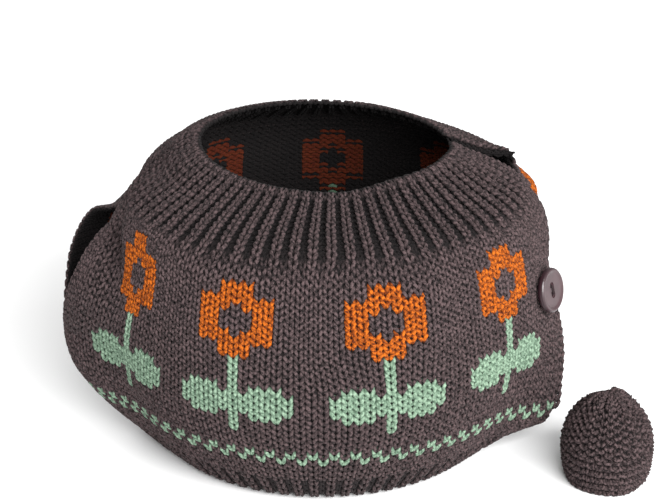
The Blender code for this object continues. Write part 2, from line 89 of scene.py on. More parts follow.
# The rim of the spout's opening and the seam above and below it
SPOUT = (
    # row, reach from the pot's axis, half width of the opening, drop, stitches it takes to run out
    (3.0, 53.6, 0.0, 7.6, 16.0),
    (7.0, 62.2, 0.0, 12.6, 16.0),
    (11.0, 70.8, 0.0, 18.6, 13.0),
    (13.0, 74.2, 0.0, 22.8, 9.0),
    (14.5, 76.2, 0.0, 26.0, 5.0),
    (16.3, 78.4, 6.0, 28.2, 4.0),
    (17.7, 80.8, 10.0, 29.4, 5.0),
    (19.0, 83.6, 13.5, 30.6, 6.5),
    (20.2, 86.0, 16.0, 32.6, 7.5),
    (21.5, 88.5, 17.5, 35.4, 8.5),
    (23.8, 92.0, 18.5, 41.4, 9.5),
    (26.5, 95.4, 17.0, 49.4, 10.0),
    (29.0, 97.0, 13.0, 57.0, 10.5),
    (31.5, 98.0, 7.5, 64.4, 11.0),
    (33.5, 98.4, 0.0, 71.5, 11.0),
    (36.0, 97.8, 0.0, 79.5, 11.5),
    (38.5, 95.4, 0.0, 88.0, 12.0),
    (41.0, 90.0, 0.0, 96.5, 12.0),
    (43.5, 83.0, 0.0, 104.5, 12.0),
    (46.0, 75.0, 0.0, 111.4, 12.0),
    (47.6, 69.0, 0.0, 116.6, 12.0),
    (48.6, 65.0, 0.0, 119.4, 12.0),
    (50.0, 59.0, 0.0, 121.6, 12.0),
)
POUCH_TOP, POUCH_TOP_ROWS = 3.0, 3.0  # where the pouch sets in, and over how many rows
POUCH_SOFTNESS, EDGE_SOFTNESS = 0.28, 0.3  # of the corners where they run out
KEEL_START, KEEL_END = 27.0, 36.0  # the rows in which the pouch's corner below the spout sets in

# How the pouch crowds the front panel's stitches beside it, in degrees
CROWD = (
    # row, turn
    (12.0, 0.0),
    (17.0, 4.6),
    (22.0, 4.6),
    (26.0, 3.4),
    (31.0, 1.6),
    (37.0, -1.6),
    (41.0, -2.0),
    (46.0, 0.0),
)
CROWDED = (3.0, 8.0, 11.5, 13.0)  # the window of stitches that it does so in

# How the belly spreads the front panel's stitches away from its middle, in degrees
SPREAD = (
    # row, turn
    (15.0, 0.0),
    (22.0, 0.3),
    (28.0, 1.5),
    (32.0, 2.6),
    (37.0, 3.6),
    (41.0, 2.8),
    (45.0, 0.8),
    (47.0, 0.0),
)
FRONT_MIDDLE = 32.5
SPREAD_CORE, SPREAD_END, SPREAD_FADE = 8.0, 20.0, 11.0  # stitches from there

# The crease that the pouch leaves beside itself in the front panel
CREASE = (
    # row, middle stitch, depth, half its width in stitches
    (12.2, 4.4, 0.0, 3.0),
    (14.0, 4.7, 2.4, 3.2),
    (15.6, 5.1, 3.8, 3.3),
    (17.6, 5.7, 4.2, 3.5),
    (20.0, 6.4, 3.4, 3.7),
    (22.8, 7.0, 1.8, 4.0),
    (26.5, 7.6, 0.0, 4.2),
)

# The hump of the back panel's last flower beside the handle
HUMP_ROW, HUMP_STITCH = 17.0, 67.4
HUMP_ROWS, HUMP_STITCHES = 5.2, 5.0  # how far it reaches each way
HUMP_OUT = 4.4

# How the back panel's shoulder is drawn in beside the spout and raised
SHOULDER = (
    # row, in beside the spout, up all along
    (0.0, 0.0, 0.0),
    (3.0, -0.6, 1.4),
    (6.0, 1.0, 1.4),
    (9.0, 2.2, 1.2),
    (12.0, 4.6, 0.6),
    (15.0, 7.4, 0.0),
    (18.0, 3.6, 0.0),
    (22.0, 0.0, 0.0),
)
SHOULDER_IN = (0.0, 5.0, 12.0, 16.0)  # the windows of stitches for each
SHOULDER_UP = (0.0, 5.0, 44.0, 14.0)

# The front panel's handle edge: its stitch, and how far it stands off the body
FRONT_EDGE = (
    # row, last stitch, out, down, stitches it takes to run out
    (0.0, 72.0, 0.0, 0.0, 6.0),
    (4.0, 72.0, 0.4, 0.0, 6.0),
    (8.0, 72.0, 0.4, 0.4, 6.0),
    (12.0, 71.6, -1.8, 0.4, 6.0),
    (14.0, 71.2, -1.5, 0.2, 6.0),
    (16.0, 70.6, 0.0, 0.0, 6.0),
    (20.0, 67.5, 0.4, 0.0, 6.0),
    (23.0, 65.2, -0.2, 0.0, 7.0),
    (26.0, 64.3, 1.7, 0.0, 8.5),
    (30.0, 64.0, 5.4, 0.4, 9.0),
    (34.0, 64.0, 9.4, 1.6, 8.5),
    (38.0, 64.0, 12.2, 4.4, 7.5),
    (41.0, 63.6, 14.0, 6.4, 7.0),
    (43.5, 63.0, 13.2, 4.8, 6.5),
    (46.0, 62.4, 11.0, -1.0, 6.0),
    (48.0, 62.0, 9.6, -6.0, 6.0),
    (50.0, 61.6, 9.0, -9.6, 6.0),
)

# The back panel's handle edge, in the same terms
BACK_EDGE = (
    # row, last stitch, out, down, stitches it takes to run out
    (0.0, 68.0, 0.0, 0.0, 4.0),
    (4.0, 68.0, 0.2, 0.6, 4.0),
    (7.5, 68.2, 1.2, 0.6, 4.0),
    (10.3, 68.4, 4.6, -1.4, 3.4),
    (12.2, 68.5, -0.6, 0.0, 4.0),
    (14.0, 69.8, -2.4, 0.0, 4.0),
    (15.5, 72.6, -5.4, 0.0, 5.5),
    (17.5, 76.0, -5.4, 0.0, 8.5),
    (20.0, 78.6, -5.2, 0.0, 10.5),
    (23.0, 81.6, -4.8, 0.0, 13.0),
    (26.0, 82.8, -4.0, 0.0, 13.0),
    (29.0, 81.6, -3.0, 0.0, 11.0),
    (32.0, 77.4, -2.0, 0.0, 7.0),
    (35.0, 74.9, 0.0, 0.0, 6.0),
    (40.0, 74.0, 0.0, 0.0, 6.0),
    (50.0, 74.0, 0.0, 0.0, 6.0),
)

# Where the chart's rows lie: the knitting is pulled down over the belly
DRIFT = (
    # chart row, cloth row
    (0.0, 0.0),
    (11.0, 11.1),
    (15.0, 15.75),
    (20.0, 20.85),
    (26.0, 26.85),
    (32.0, 32.9),
    (37.0, 37.65),
    (40.0, 40.35),
    (42.0, 42.2),
    (45.0, 45.0),
    (50.0, 50.0),
)

# How the pouch tugs the front panel's first flowers towards itself
TUG = (
    # chart row, rows up, stitches towards the spout, stitches away from it at the crease
    (11.0, 0.0, 0.0, 0.0),
    (13.0, 1.3, 0.8, 0.2),
    (15.0, 2.4, 1.3, 0.4),
    (17.0, 2.4, 1.2, 0.7),
    (20.5, 2.1, 1.0, 0.8),
    (24.0, 1.8, 0.7, 0.9),
    (27.0, 1.4, 0.3, 0.6),
    (31.0, 0.6, 0.0, 0.2),
    (37.0, 0.0, 0.0, 0.0),
)
# The upward tug at the spout's edge, where it is full, where it ends and how it fades
TUG_AT_SPOUT, TUG_FULL, TUG_END, TUG_FADE = 0.4, 8.0, 13.0, 7.0
TUG_MIDDLE, TUG_REACH = 17.0, 12.0  # the sideways tug towards the spout, in stitches
CREASE_MIDDLE, CREASE_REACH = 8.0, 5.0  # the sideways tug away from it

# How other flowers are pulled up or wider
STRETCH = (
    # panel, middle stitch, half its width, rows up, how much wider
    (FRONT, 39.5, 6.0, 0.0, 0.13),
    (FRONT, 53.5, 7.0, 1.1, 0.06),
    (BACK, 67.5, 6.0, 2.0, 0.0),
)
STRETCHED = (11.0, 4.0, 34.0, 6.0)  # the window of rows that they are pulled in
WIDE_END, WIDE_FADE = 25.0, 5.0  # the rows where the widening ends

# Smooth curves


def clamp(value, low, high):
    return min(max(value, low), high)


@lru_cache(maxsize=None)
def read(table, column, row):
    """A column of a table at any row, on a smooth curve through its points."""
    rows = [line[0] for line in table]
    values = [line[column] for line in table]
    at = clamp(row, rows[0], rows[-1])
    i = clamp(bisect_left(rows, at) - 1, 0, len(rows) - 2)
    span = rows[i + 1] - rows[i]
    t = (at - rows[i]) / span

    def steepness(k):
        before, after = max(k - 1, 0), min(k + 1, len(rows) - 1)
        return (values[after] - values[before]) / (rows[after] - rows[before])

    start = (1 + 2 * t) * (1 - t) ** 2 * values[i] + t * (1 - t) ** 2 * span * steepness(i)
    end = t * t * (3 - 2 * t) * values[i + 1] - t * t * (1 - t) * span * steepness(i + 1)
    return start + end


def ease(t):
    """0 below t = 0 and 1 above t = 1, smoothly."""
    t = clamp(t, 0.0, 1.0)
    return t * t * (3 - 2 * t)


def fade(at, start, width):
    """1 up to the start, then falling smoothly to 0."""
    return 1 - ease((at - start) / width)


def window(at, start, rise, end, fall):
    """Rises from 0 to 1 after the start, and falls back after the end."""
    return ease((at - start) / rise) * fade(at, end, fall)


def run_out(t, softness):
    """1 at t = 0, falling in a nearly straight line to 0 at t = 1, with a soft corner there."""
    ramp = 0.5 * ((1 - t) + math.sqrt((1 - t) ** 2 + softness**2))
    full = 0.5 * (1 + math.sqrt(1 + softness**2))
    return ramp / full


# Where the cloth lies

FACING_STEP = 0.3  # how far to each side a place's facing is worked out from, in stitches and rows


def turn_of(side, stitch, row):
    """How far round the pot a stitch is from the spout."""
    turn = stitch * STITCH_TURN
    if side == FRONT:
        turn += math.radians(read(CROWD, 1, row)) * window(stitch, *CROWDED)
        off = stitch - FRONT_MIDDLE
        apart = off / math.hypot(off, SPREAD_CORE) * fade(abs(off), SPREAD_END, SPREAD_FADE)
        turn += math.radians(read(SPREAD, 1, row)) * apart
    return turn


def outward_step(side, turn, out, down=0.0):
    """A step away from the pot's axis, and down."""
    return Vector((-out * math.cos(turn), side * out * math.sin(turn), -down))


def body_place(side, stitch, row):
    """A place on the pot-shaped body, before the spout and the handle's edge pull it about."""
    turn = turn_of(side, stitch, row)
    radius, drop = read(BODY, 1, row), read(BODY, 2, row)
    if side == BACK:
        radius -= read(SHOULDER, 1, row) * window(stitch, *SHOULDER_IN)
        drop -= read(SHOULDER, 2, row) * window(stitch, *SHOULDER_UP)
    neck = fade(row, 0.0, NECK_ROWS)
    forward = max(-side * math.sin(turn), 0.0)
    drop += neck * (NECK_DIP * forward - NECK_TILT * math.cos(turn))
    if side == FRONT:
        drop -= neck * NECK_LIFT * window(stitch, *NECK_LIFTED)
    return Vector((neck * NECK_SHIFT, 0.0, STAND)) + outward_step(side, turn, radius, drop)


def spout_place(side, row):
    """A place on the rim of the spout's opening, or on the seam above or below it."""
    half = max(read(SPOUT, 2, row), GAP / 2)
    return Vector((-read(SPOUT, 1, row), side * half, STAND - read(SPOUT, 3, row)))


def edge_of(side):
    """The table of a panel's handle edge."""
    return FRONT_EDGE if side == FRONT else BACK_EDGE


def last_stitch(side, row):
    """Where a row of a panel ends at the handle."""
    return read(edge_of(side), 1, row)


def edge_push(side, stitch, row):
    """How far a panel's handle edge is lifted off the body, or tucked under."""
    table = edge_of(side)
    share = run_out((read(table, 1, row) - stitch) / read(table, 4, row), EDGE_SOFTNESS)
    out, down = share * read(table, 2, row), share * read(table, 3, row)
    return outward_step(side, turn_of(side, stitch, row), out, down)


def relief_push(side, stitch, row):
    """How far the crease sinks the front panel, or the hump lifts the back one."""
    if side == FRONT:
        off = abs(stitch - read(CREASE, 1, row))
        out = -read(CREASE, 2, row) * fade(off, 0.0, read(CREASE, 3, row))
    else:
        near = fade(abs(row - HUMP_ROW), 0.0, HUMP_ROWS)
        out = HUMP_OUT * near * fade(abs(stitch - HUMP_STITCH), 0.0, HUMP_STITCHES)
    return outward_step(side, turn_of(side, stitch, row), out)


def cloth_place(side, stitch, row):
    """A place on a panel's right side, before its ribs."""
    place = body_place(side, stitch, row)
    if row > POUCH_TOP:
        pull = spout_place(side, row) - body_place(side, 0.0, row)
        away = stitch / read(SPOUT, 4, row)
        keel = ease((row - KEEL_START) / (KEEL_END - KEEL_START))
        share = (1 - keel) * run_out(away, POUCH_SOFTNESS) + keel * ease(1 - away)
        place += pull * share * ease((row - POUCH_TOP) / POUCH_TOP_ROWS)
    place += edge_push(side, stitch, row) + relief_push(side, stitch, row)
    place.z = max(place.z, 0.0)
    if place.x < 0:
        place.y = side * max(side * place.y, GAP / 2)
    return place


def cloth_normal(side, stitch, row):
    """The way a panel's right side faces."""
    last = last_stitch(side, row)
    before, after = max(stitch - FACING_STEP, 0.0), min(stitch + FACING_STEP, last)
    above, below = max(row - FACING_STEP, 0.0), min(row + FACING_STEP, ROWS)
    across = cloth_place(side, after, row) - cloth_place(side, before, row)
    down = cloth_place(side, stitch, below) - cloth_place(side, stitch, above)
    return (across.cross(down) * side).normalized()


# Node trees, for shapes and for materials


class Wire:
    """A node's output. Arithmetic on it adds Math nodes."""

    def __init__(self, tree, socket):
        self.tree = tree
        self.socket = socket

    def out(self, name):
        """Another output of the same node."""
        found = [s for s in self.socket.node.outputs if s.name == name and s.enabled]
        return Wire(self.tree, found[0])

    def maths(self, operation, *others):
        return self.tree.add("ShaderNodeMath", {"operation": operation}, [self, *others])

    def __add__(self, other):
        return self.maths("ADD", other)

    def __sub__(self, other):
        return self.maths("SUBTRACT", other)

    def __mul__(self, other):
        return self.maths("MULTIPLY", other)

    def __truediv__(self, other):
        return self.maths("DIVIDE", other)

    def __rsub__(self, other):
        return self.tree.add("ShaderNodeMath", {"operation": "SUBTRACT"}, [other, self])

    def __rtruediv__(self, other):
        return self.tree.add("ShaderNodeMath", {"operation": "DIVIDE"}, [other, self])

    __radd__ = __add__
    __rmul__ = __mul__

    def sin(self):
        return self.maths("SINE")

    def cos(self):
        return self.maths("COSINE")

    def between(self, low, high):
        return self.maths("MAXIMUM", low).maths("MINIMUM", high)

    def ramp(self, low, high):
        """0 below low and 1 above high, smoothly."""
        places = {"Value": self, "From Min": low, "From Max": high}
        return self.tree.add("ShaderNodeMapRange", {"interpolation_type": "SMOOTHSTEP"}, places)


class Tree:
    """A node tree, built one node at a time."""

    def __init__(self, nodes, links):
        self.nodes = nodes
        self.links = links

    def add(self, kind, settings=None, values=None):
        """Adds a node, sets it up, then gives its sockets values or wires, by name or in order."""
        node = self.nodes.new(kind)
        for name, value in (settings or {}).items():
            setattr(node, name, value)
        open_sockets = [s for s in node.inputs if s.enabled]
        if isinstance(values, dict):
            named = {s.name: s for s in reversed(open_sockets)}
            pairs = [(named[name], value) for name, value in values.items()]
        else:
            pairs = list(zip(open_sockets, values or []))
        for socket, value in pairs:
            if isinstance(value, Wire):
                self.links.new(value.socket, socket)
            else:
                socket.default_value = value
        shown = [s for s in node.outputs if s.enabled]
        return Wire(self, shown[0]) if shown else node

    def vector(self, x=0.0, y=0.0, z=0.0):
        return self.add("ShaderNodeCombineXYZ", {}, [x, y, z])

    def vector_maths(self, operation, *values):
        return self.add("ShaderNodeVectorMath", {"operation": operation}, list(values))

    def scaled(self, vector, factor):
        values = {"Vector": vector, "Scale": factor}
        return self.add("ShaderNodeVectorMath", {"operation": "SCALE"}, values)

    def mix(self, factor, one, two):
        values = {"Factor": factor, "A": one, "B": two}
        return self.add("ShaderNodeMix", {"data_type": "RGBA"}, values)


class ShapeTree(Tree):
    """A Geometry Nodes tree with named inputs."""

    def __init__(self, name, inputs):
        self.group = bpy.data.node_groups.new(name, "GeometryNodeTree")
        super().__init__(self.group.nodes, self.group.links)
        face = self.group.interface
        face.new_socket("Geometry", in_out="INPUT", socket_type="NodeSocketGeometry")
        self.sockets = {}
        for label, (kind, value) in inputs.items():
            socket = face.new_socket(label, in_out="INPUT", socket_type=kind)
            if value is not None:
                socket.default_value = value
            self.sockets[label] = socket.identifier
        face.new_socket("Geometry", in_out="OUTPUT", socket_type="NodeSocketGeometry")
        self.entry = self.nodes.new("NodeGroupInput")

    def given(self, label):
        return Wire(self, self.entry.outputs[label])

    def named(self, name, kind="FLOAT"):
        return self.add("GeometryNodeInputNamedAttribute", {"data_type": kind}, {"Name": name})

    def stored(self, geometry, name, value, kind="FLOAT"):
        settings = {"data_type": kind, "domain": "POINT"}
        values = {"Geometry": geometry, "Name": name, "Value": value}
        return self.add("GeometryNodeStoreNamedAttribute", settings, values)

    def finish(self, geometry, material):
        whole = self.add("GeometryNodeRealizeInstances", {}, {"Geometry": geometry})
        dressed = self.add("GeometryNodeSetMaterial", {}, {"Geometry": whole, "Material": material})
        leave = self.nodes.new("NodeGroupOutput")
        self.links.new(dressed.socket, leave.inputs[0])


def placed(name, data):
    """A new object in the scene."""
    made = bpy.data.objects.new(name, data)
    bpy.context.scene.collection.objects.link(made)
    return made


def grown(name, start, tree, values):
    """Runs a shape tree on a mesh and returns what it makes as a plain object."""
    seed = placed(name + "_start", start)
    step = seed.modifiers.new("grow", "NODES")
    step.node_group = tree.group
    for label, value in values.items():
        step[tree.sockets[label]] = value
    bpy.context.view_layer.update()
    grown_seed = seed.evaluated_get(bpy.context.evaluated_depsgraph_get())
    mesh = bpy.data.meshes.new_from_object(grown_seed)
    bpy.data.objects.remove(seed)
    mesh.name = name
    return placed(name, mesh)


# Knitting

MAP_SPAN = 128.0  # stitches and rows are divided by this to make UV coordinates
STEPS, SIDES = 10, 5  # points along one stitch and round the yarn
YARN_RADIUS, MOTIF_RADIUS = 0.72, 0.8  # of the ground's yarn and the motifs'
FULL_STITCH = 3.6  # the stitch width that gives the yarn its full girth
LEAST_GIRTH, MOST_GIRTH = 0.55, 1.1  # shares of that width, past which the girth stays
RIB_SHARPNESS = 1.6  # how soon a rib's crest gives way to its furrow
FURROW_SHADE = 0.4  # how much darker a furrow's yarn is painted, as shade
CREST_PLUMPNESS = 0.3  # how much thicker a crest's yarn is
WANDER_SCALE = 0.9  # of the unevenness, per stitch


def knit_tree():
    """Knits runs of stitches. A vertex is a run's first stitch, and its attributes say the rest."""
    tree = ShapeTree(
        "knitting",
        {
            "Cloth": ("NodeSocketObject", None),
            "Yarn Radius": ("NodeSocketFloat", YARN_RADIUS * MM),
            "Loop Height": ("NodeSocketFloat", 1.62),
            "Loop Lean": ("NodeSocketFloat", 1.65),
            "Loop Depth": ("NodeSocketFloat", 0.68 * MM),
            "Rib Depth": ("NodeSocketFloat", 1.8 * MM),
            "Rib Swell": ("NodeSocketFloat", 0.35),
            "Unevenness": ("NodeSocketFloat", 0.09),
            "Unevenness Seed": ("NodeSocketFloat", 0.0),
            "Wool": ("NodeSocketMaterial", None),
        },
    )
    tall, lean = tree.given("Loop Height"), tree.given("Loop Lean")
    depth, radius = tree.given("Loop Depth"), tree.given("Yarn Radius")

    # Each run is a straight line as many stitches long, cut into steps
    line = tree.add("GeometryNodeCurvePrimitiveLine", {}, {"End": (1.0, 0.0, 0.0)})
    wide = tree.named("stitch_width")
    length = tree.vector(tree.named("stitches") * wide, 1.0, 1.0)
    runs = {"Points": tree.given("Geometry"), "Instance": line, "Scale": length}
    runs = tree.add("GeometryNodeInstanceOnPoints", {}, runs)
    runs = tree.add("GeometryNodeRealizeInstances", {}, {"Geometry": runs})
    count = tree.named("stitches") * STEPS + 1
    runs = tree.add("GeometryNodeResampleCurve", {"mode": "COUNT"}, {"Curve": runs, "Count": count})

    # The line becomes a chain of loops: each rises in front and passes behind at its head and feet
    here = tree.add("ShaderNodeSeparateXYZ", {}, [tree.add("GeometryNodeInputPosition")])
    stitch, row = here.out("X"), here.out("Y")
    swing = stitch / wide * math.tau
    rib, moss = tree.named("rib"), tree.named("moss")
    beat = (stitch / wide - 0.5 + tree.named("shift")) * math.pi
    crest, valley = beat.cos(), beat.sin()
    mixed = rib + moss
    ribbed = (crest * RIB_SHARPNESS).between(-1.0, 1.0)
    facing = tree.named("face") * (1 - mixed) + mixed * ribbed
    across = stitch + (swing * 2).sin() * lean * wide / math.tau
    across = across + valley * rib * tree.given("Rib Swell") / math.pi
    down = row + swing.cos() * tall / 2
    crown = (swing * 2).cos() * facing * -1
    proud = (crown - 1) * depth - radius
    proud = proud - rib * tree.given("Rib Depth") * (0.5 - crest * 0.5)
    # Painted shade: the yarn's tone is kept where a loop stands proud, and darkened where it passes
    # behind its neighbours and in the rib's furrows
    bared = (crown * 0.5 + 0.5) * (1 - rib * (FURROW_SHADE - crest * FURROW_SHADE))

    # Hand tension is never even
    spot = tree.vector(stitch, row, tree.given("Unevenness Seed"))
    wander = {"Vector": spot, "Scale": WANDER_SCALE, "Detail": 1.0}
    wander = tree.add("ShaderNodeTexNoise", {"noise_dimensions": "3D"}, wander).out("Color")
    wander = tree.add("ShaderNodeSeparateXYZ", {}, [wander])
    uneven = tree.given("Unevenness")
    across = across + (wander.out("X") - 0.5) * uneven * 2
    down = down + (wander.out("Y") - 0.5) * uneven * 2
    proud = proud + (wander.out("Z") - 0.5) * uneven * 2 * MM

    # The chain is laid on the cloth
    cloth = tree.add("GeometryNodeObjectInfo", {}, {"Object": tree.given("Cloth")}).out("Geometry")
    where = tree.vector(across / MAP_SPAN, down / MAP_SPAN, 0.0)

    def on_cloth(value, kind):
        uvs = tree.named("chart", "FLOAT_VECTOR")
        places = {"Mesh": cloth, "Value": value, "UV Map": uvs, "Sample UV": where}
        return tree.add("GeometryNodeSampleUVSurface", {"data_type": kind}, places)

    place = on_cloth(tree.add("GeometryNodeInputPosition"), "FLOAT_VECTOR")
    outward = on_cloth(tree.named("outward", "FLOAT_VECTOR"), "FLOAT_VECTOR")
    girth = on_cloth(tree.named("girth"), "FLOAT")
    place = tree.vector_maths("ADD", place, tree.scaled(outward, proud))
    kept = tree.stored(runs, "girth", girth)
    kept = tree.stored(kept, "bared", bared)
    kept = tree.stored(kept, "plump", crest * rib * CREST_PLUMPNESS + 1)
    laid = tree.add("GeometryNodeSetPosition", {}, {"Geometry": kept, "Position": place})
    laid = tree.stored(laid, "along", tree.add("GeometryNodeSplineParameter").out("Length"))

    # The yarn itself
    ring = {"Resolution": SIDES, "Radius": 1.0}
    ring = tree.add("GeometryNodeCurvePrimitiveCircle", {"mode": "RADIUS"}, ring)
    around = tree.add("GeometryNodeSplineParameter").out("Factor") * math.tau
    ring = tree.stored(ring, "around_cos", around.cos())
    ring = tree.stored(ring, "around_sin", around.sin())
    thick = radius * tree.named("girth") * tree.named("plump") * wide.maths("SQRT")
    yarn = {"Curve": laid, "Profile Curve": ring, "Scale": thick, "Fill Caps": True}
    yarn = tree.add("GeometryNodeCurveToMesh", {}, yarn)
    yarn = tree.add("GeometryNodeSetShadeSmooth", {}, {"Geometry": yarn})
    tree.finish(yarn, tree.given("Wool"))
    return tree


def in_frame(point):
    """A point given in millimetres from the pot's axis, in the frame's metres."""
    return tuple((point + POT_AXIS) * MM)


def yarn_girth(place, stitch, row, least):
    """How plump the yarn is where the stitches are drawn close or apart."""
    width = (place(stitch + 0.5, row) - place(stitch - 0.5, row)).length
    return math.sqrt(clamp(width / FULL_STITCH, least, MOST_GIRTH))


def cloth_map(name, place, facing, least_girth, columns, rows):
    """A cloth's mesh. Its UV map holds stitch and row numbers. columns(row) lists stitches."""
    points, outward, uvs, girths, faces = [], [], [], [], []
    for row in rows:
        for stitch in columns(row):
            points.append(place(stitch, row))
            outward.append(facing(stitch, row))
            uvs.append((stitch / MAP_SPAN, row / MAP_SPAN))
            girths.append(yarn_girth(place, stitch, row, least_girth))
    wide = len(columns(rows[0]))
    for i in range(len(rows) - 1):
        for j in range(wide - 1):
            a = i * wide + j
            faces.append((a, a + wide, a + wide + 1, a + 1))
    mesh = bpy.data.meshes.new(name)
    mesh.from_pydata([in_frame(point) for point in points], [], faces)
    chart = mesh.uv_layers.new(name="chart")
    for loop in mesh.loops:
        chart.data[loop.index].uv = uvs[loop.vertex_index]
    ways = mesh.attributes.new("outward", "FLOAT_VECTOR", "POINT")
    ways.data.foreach_set("vector", np.ravel(outward))
    mesh.attributes.new("girth", "FLOAT", "POINT").data.foreach_set("value", girths)
    return placed(name, mesh)


def beyond(side, stitch, row):
    """A place on a panel, carried straight on past its edges."""
    last_column, last_row = clamp(stitch, 0.0, last_stitch(side, row)), clamp(row, 0.0, ROWS)
    edge = cloth_place(side, last_column, last_row)
    spot = edge
    if stitch != last_column:
        step = math.copysign(0.5, stitch - last_column)
        slope = (edge - cloth_place(side, last_column - step, last_row)) / step
        spot = spot + slope * (stitch - last_column)
    if row != last_row:
        step = math.copysign(0.5, row - last_row)
        slope = (edge - cloth_place(side, last_column, last_row - step)) / step
        spot = spot + slope * (row - last_row)
    return spot


def chart_spot(side, stitch, row):
    """The cloth's stitch and row that a chart's stitch and row lie at."""
    inside = clamp(row, 0.0, ROWS)
    down, shift = read(DRIFT, 1, inside), 0.0
    if side == FRONT:
        tug = TUG_AT_SPOUT + (1 - TUG_AT_SPOUT) * ease(stitch / TUG_FULL)
        down -= read(TUG, 1, inside) * tug * fade(stitch, TUG_END, TUG_FADE)
        shift -= read(TUG, 2, inside) * fade(abs(stitch - TUG_MIDDLE), 0.0, TUG_REACH)
        shift += read(TUG, 3, inside) * fade(abs(stitch - CREASE_MIDDLE), 0.0, CREASE_REACH)
    for panel_side, middle, half, up, wider in STRETCH:
        if side == panel_side:
            off = stitch - middle
            near = window(inside, *STRETCHED) * fade(abs(off), half / 2, half)
            down -= up * near
            shift += wider * off * near * fade(inside, WIDE_END, WIDE_FADE)
    return stitch + shift, down + row - inside


MAP_BEFORE, MAP_AFTER, MAP_COLUMNS = 1.5, 3.5, 92  # stitches past each edge, and columns


def panel_map(name, side):
    """The map of a panel, by its chart's stitches and rows."""

    def place(chart_stitch, chart_row):
        stitch, row = chart_spot(side, chart_stitch, chart_row)
        spot = beyond(side, stitch, row)
        return Vector((spot.x, spot.y, max(spot.z, 0.0)))

    def facing(chart_stitch, chart_row):
        stitch, row = chart_spot(side, chart_stitch, clamp(chart_row, 0.0, ROWS))
        return cloth_normal(side, clamp(stitch, 0.0, last_stitch(side, row)), row)

    def columns(row):
        last = last_stitch(side, read(DRIFT, 1, clamp(row, 0.0, ROWS)))
        return np.linspace(-MAP_BEFORE, last + MAP_AFTER, MAP_COLUMNS)

    return cloth_map(name, place, facing, LEAST_GIRTH, columns, np.arange(-1.0, ROWS + 1.5, 1.0))


# The charts. C is the ground colour, O the flower's, G the green

FLOWER = (
    "..OOO..",
    "..OOO..",
    "OOOOOOO",
    "OOO.OOO",
    "OO...OO",
    "OO...OO",
    "OO...OO",
    "OOO.OOO",
    "OOOOOOO",
    "..OOO..",
    "..OOO..",
)
FLOWER_ROW, STEM_ROW, STEM_ROWS = 15, 26, 11
# Which rows of the stem a leaf's columns cover, going out from the stem
LEAF = ((5, 7), (4, 8), (4, 8), (4, 8), (5, 7))
FRONT_FLOWERS = (11, 25, 39, 53)
BACK_FLOWERS = (11, 25, 39, 53, 67)
ZIGZAG_ROW = 40
NECK_RIB_ROWS, HEM_RIB_ROW = 11, 45
RIB_FADE_ROW, RIB_FADE_ROWS = 8, 6  # where the neck's rib gives way to plain knitting
CAST_ON_RIB, HEM_RIB = 0.25, 0.4  # how far the cast-on row and the hem are ribbed


def yarn_at(stitch, row, flowers):
    """The yarn a stitch is knitted in."""
    half = len(FLOWER[0]) // 2
    for middle in flowers:
        off = stitch - middle
        if FLOWER_ROW <= row < FLOWER_ROW + len(FLOWER) and abs(off) <= half:
            if FLOWER[row - FLOWER_ROW][off + half] == "O":
                return "O"
        if STEM_ROW <= row < STEM_ROW + STEM_ROWS and abs(off) <= len(LEAF):
            first, last = LEAF[abs(off) - 1] if off else (0, STEM_ROWS)
            if first <= row - STEM_ROW <= last:
                return "G"
    zigzag = ZIGZAG_ROW <= row <= ZIGZAG_ROW + 1 and (row - ZIGZAG_ROW - stitch) % 2 == 0
    return "G" if zigzag else "C"


def ribbing(row):
    """How far a row is ribbed."""
    if row >= HEM_RIB_ROW:
        return HEM_RIB
    return CAST_ON_RIB if row == 0 else fade(row, RIB_FADE_ROW, RIB_FADE_ROWS)


PLAIN = {"rib": 0.0, "moss": 0.0, "face": 1.0, "shift": 0.0, "stitch_width": 1.0}


def run_of(start, row, stitches, **kind):
    """A run of stitches. Its first stitch and its row say where it starts."""
    return {"start": start, "row": row, "stitches": stitches, **PLAIN, **kind}


def runs_of(side, yarn, first_row, end_row):
    """The runs of one yarn in a panel's rows."""
    flowers = FRONT_FLOWERS if side == FRONT else BACK_FLOWERS
    runs = []
    for row in range(first_row, end_row):
        last = int(round(last_stitch(side, read(DRIFT, 1, row + 0.5))))
        start = None
        for stitch in range(last + 1):
            same = stitch < last and yarn_at(stitch, row, flowers) == yarn
            if same and start is None:
                start = stitch
            if not same and start is not None:
                runs.append(run_of(start, row + 0.5, stitch - start, rib=ribbing(row)))
                start = None
    return runs


def chart_mesh(name, runs):
    """One vertex a run, with what the knitting reads from it."""
    mesh = bpy.data.meshes.new(name)
    mesh.from_pydata([(run["start"], run["row"], 0.0) for run in runs], [], [])
    for label in ("stitches", *PLAIN):
        values = [run[label] for run in runs]
        mesh.attributes.new(label, "FLOAT", "POINT").data.foreach_set("value", values)
    return mesh


# Materials


def material(name):
    """A new material, its node tree and its surface shader."""
    made = bpy.data.materials.new(name)
    made.use_nodes = True
    tree = Tree(made.node_tree.nodes, made.node_tree.links)
    return made, tree, made.node_tree.nodes["Principled BSDF"]


def set_sockets(shader, values):
    """Gives a shader's sockets plain values."""
    for name, value in values.items():
        shader.inputs[name].default_value = value


PLY_TWIST = 2.4  # the length of yarn that one turn of its plies takes
DEEPEST_TONE = 0.04  # what is left of the light tone where the shade painted deep in the knit is darkest
